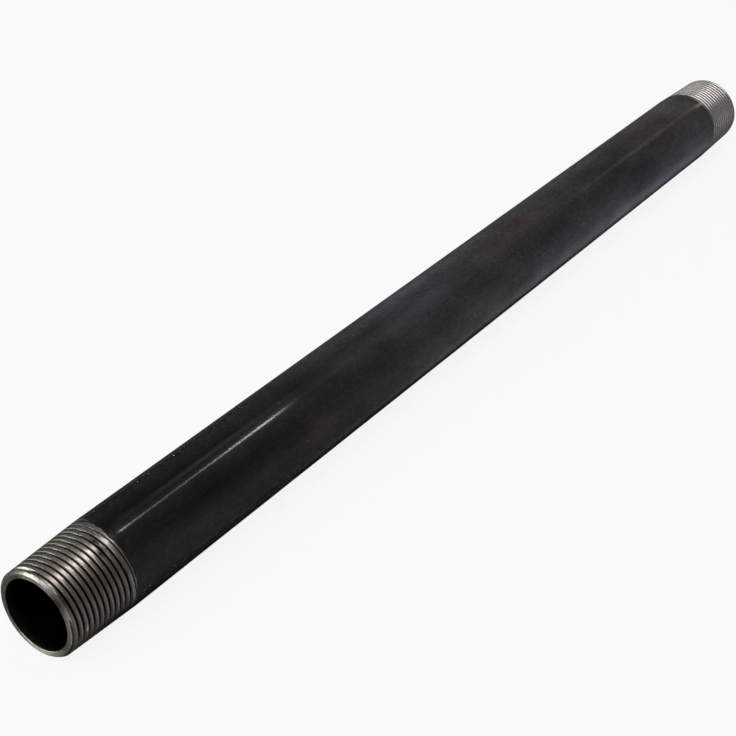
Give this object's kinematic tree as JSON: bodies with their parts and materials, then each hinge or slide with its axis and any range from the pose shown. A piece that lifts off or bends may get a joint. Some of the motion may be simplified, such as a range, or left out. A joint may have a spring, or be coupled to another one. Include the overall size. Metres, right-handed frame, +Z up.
{
  "type": "threaded steel pipe",
  "caption": "Straight black steel pipe with an open bore and a tapered outside thread on each end, for screwed pipework, railings and pipe frames.",
  "frame": {"origin": "on the surface that the pipe lies on, under the middle of its length, straight below the axis of the bore", "axes": "+X along the pipe, +Z up, +Y across it"},
  "size_m": [0.381, 0.0266, 0.0267],
  "materials": {
    "body": "satin black mill scale under clear lacquer, bare on the threads"
  },
  "bodies": {
    "root": {"pipe": "body"}
  },
  "joints": []
}
